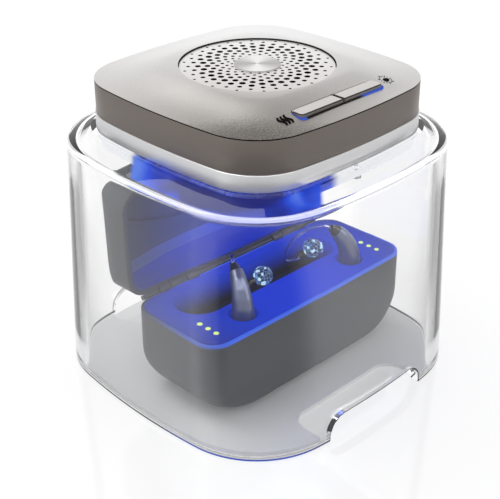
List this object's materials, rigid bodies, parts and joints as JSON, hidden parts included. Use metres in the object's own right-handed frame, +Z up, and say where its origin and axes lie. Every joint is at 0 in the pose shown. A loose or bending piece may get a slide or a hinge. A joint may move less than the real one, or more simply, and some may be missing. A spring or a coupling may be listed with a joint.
{
  "type": "hearing aid dryer",
  "caption": "Countertop hearing aid dryer: a clear drying hood with a fan heater head, light ring and press buttons, over an open charging case with hearing aids.",
  "frame": {"origin": "middle of the hood's footprint, at the height of the table top", "axes": "+Z up; -Y is the side with the buttons and the nearer finger arch; +X runs along the charging case towards its right-hand well as seen from the button side"},
  "size_m": [0.13, 0.1294, 0.1223],
  "materials": {
    "clear_hood": "polished clear",
    "seal_rubber": "satin",
    "bracket_grey": "satin",
    "screw_steel": "satin",
    "ring_silver": "satin anodised",
    "band_taupe": "satin",
    "cover_champagne": "fine satin metallic",
    "grille_metal": "satin",
    "cap_metal": "spun satin",
    "key_metal": "fine satin metallic",
    "light_guide": "translucent",
    "switch_black": "satin",
    "board_green": "satin",
    "fan_black": "satin",
    "bearing_brass": "smooth",
    "coil_steel": "laminated",
    "shaft_steel": "ground",
    "heater_metal": "bare",
    "heater_holder": "satin",
    "cutout_white": "gloss",
    "lamp_blue": "gloss",
    "lens_frost": "frosted",
    "socket_steel": "satin",
    "mat_grey": "matt",
    "case_grey": "satin",
    "tray_grey": "satin",
    "cell_foil": "foil",
    "lamp_green": "gloss",
    "contact_gold": "smooth",
    "lid_grey": "satin",
    "liner_grey": "satin",
    "aid_silver": "metallic gloss",
    "aid_black": "gloss",
    "tube_clear": "clear",
    "dome_clear": "soft clear"
  },
  "bodies": {
    "base": {"base_mat": "mat_grey", "case_shell": "case_grey", "case_tray": "tray_grey", "case_board": "board_green", "case_cell": "cell_foil", "status_lamps": "lamp_green", "charge_contacts": "contact_gold", "hinge_pins": "screw_steel", "aid_body_left": "aid_silver", "aid_plug_left": "aid_black", "ear_tube_left": "tube_clear", "receiver_left": "aid_black", "ear_dome_left": "dome_clear", "aid_body_right": "aid_silver", "aid_plug_right": "aid_black", "ear_tube_right": "tube_clear", "receiver_right": "aid_black", "ear_dome_right": "dome_clear"},
    "hood": {"hood_shell": "clear_hood", "hood_gasket": "seal_rubber", "retaining_ring": "bracket_grey", "clamp_screws": "screw_steel", "trim_ring": "ring_silver", "head_housing": "band_taupe", "top_cover": "cover_champagne", "grille_disc": "grille_metal", "centre_cap": "cap_metal", "button_bezel": "light_guide", "button_switches": "switch_black", "control_board": "board_green", "fan_frame": "fan_black", "fan_screws": "screw_steel", "fan_bearing": "bearing_brass", "fan_stator": "coil_steel", "heater_core": "heater_metal", "heater_frame": "heater_holder", "thermal_cutout": "cutout_white", "light_board": "board_green", "light_emitters": "lamp_blue", "light_lens": "lens_frost", "outlet_plate": "bracket_grey", "outlet_screws": "screw_steel", "power_inlet": "socket_steel", "inlet_board": "board_green"},
    "fan": {"fan_rotor": "fan_black", "fan_shaft": "shaft_steel"},
    "heat_key": {"heat_button": "key_metal"},
    "light_key": {"light_button": "key_metal"},
    "lid": {"lid_shell": "lid_grey", "lid_liner": "liner_grey"}
  },
  "joints": [
    {"name": "hood_lift", "type": "slide", "parent": "base", "child": "hood", "axis": [0, 0, 1], "range_m": [0, 0.13]},
    {"name": "lid_hinge", "type": "hinge", "parent": "base", "child": "lid", "pos_m": [0.0008, 0.0134, 0.0371], "axis": [1, 0, 0], "range_deg": [0, 92]},
    {"name": "fan_spin", "type": "hinge", "parent": "hood", "child": "fan", "pos_m": [0, 0, 0.112], "axis": [0, 0, 1], "continuous": true},
    {"name": "heat_press", "type": "slide", "parent": "hood", "child": "heat_key", "axis": [0, 0, -1], "range_m": [0, 0.0005], "stiffness_N_per_m": 800},
    {"name": "light_press", "type": "slide", "parent": "hood", "child": "light_key", "axis": [0, 0, -1], "range_m": [0, 0.0005], "stiffness_N_per_m": 800}
  ]
}
